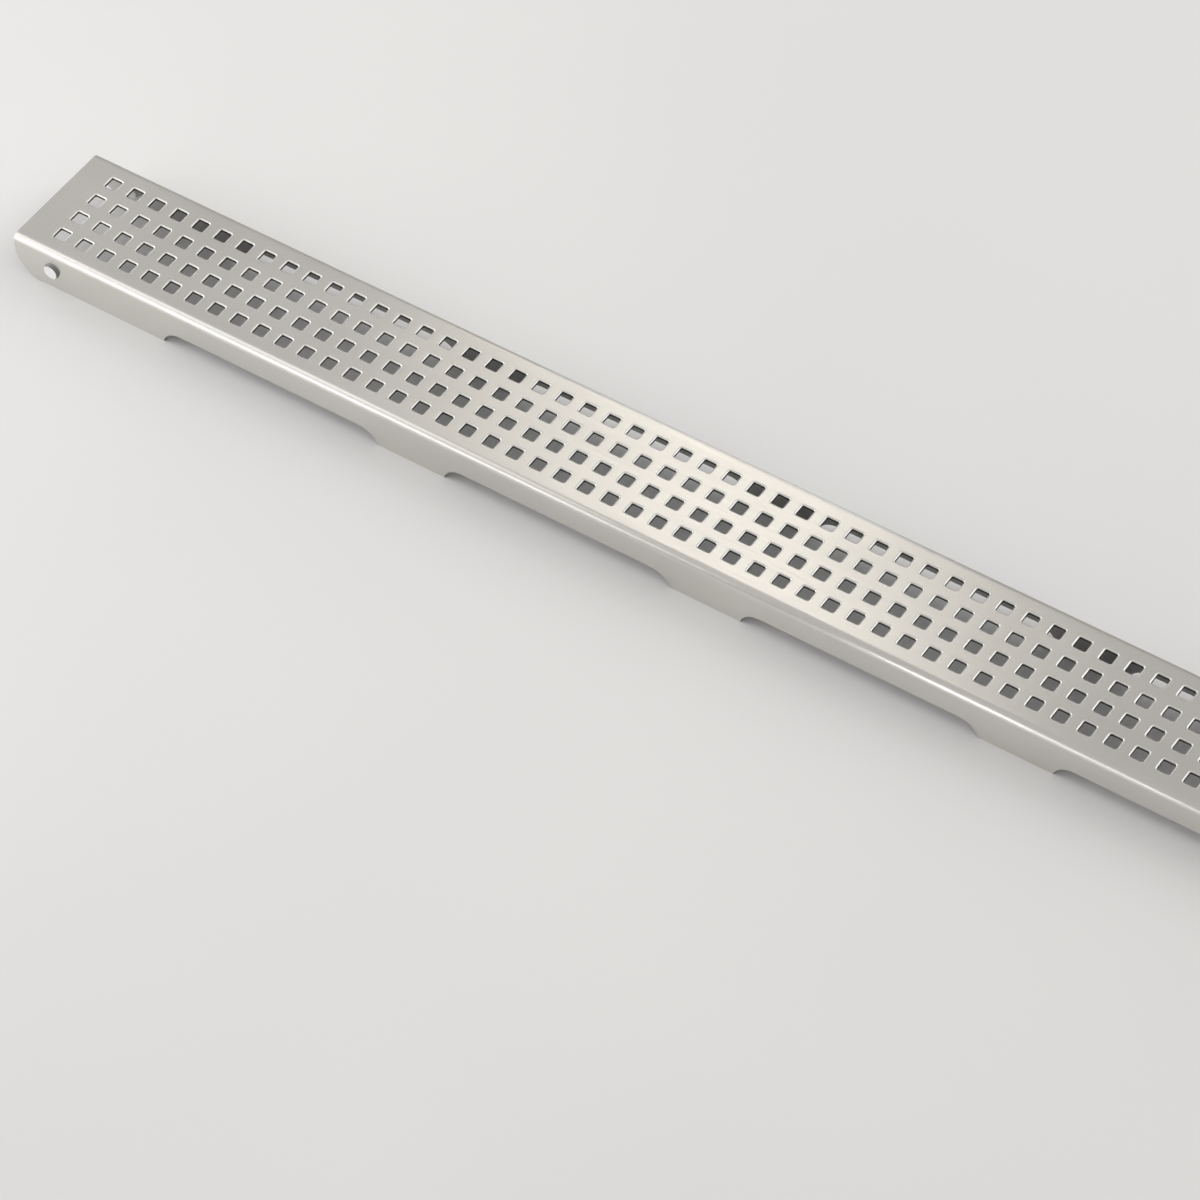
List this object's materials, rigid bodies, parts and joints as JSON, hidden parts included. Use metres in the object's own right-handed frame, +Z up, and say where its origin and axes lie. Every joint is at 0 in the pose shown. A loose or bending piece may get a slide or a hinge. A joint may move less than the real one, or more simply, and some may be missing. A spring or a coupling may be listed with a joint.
{
  "type": "linear shower drain grate",
  "caption": "Lift-out stainless grate of a linear shower drain: a folded sheet punched with square holes, its notched flanges standing as feet, with soft bumpers near the ends.",
  "frame": {"origin": "floor level under the middle of the grate", "axes": "+X along the grate, +Y across it to the back, +Z up through the punched face"},
  "size_m": [0.72, 0.0628, 0.0215],
  "materials": {
    "sheet": "satin, fine brushed along the length",
    "bumper": "pale translucent silicone"
  },
  "bodies": {
    "root": {"grate": "sheet", "bumper_front_left": "bumper", "bumper_front_right": "bumper", "bumper_back_left": "bumper", "bumper_back_right": "bumper"}
  },
  "joints": []
}
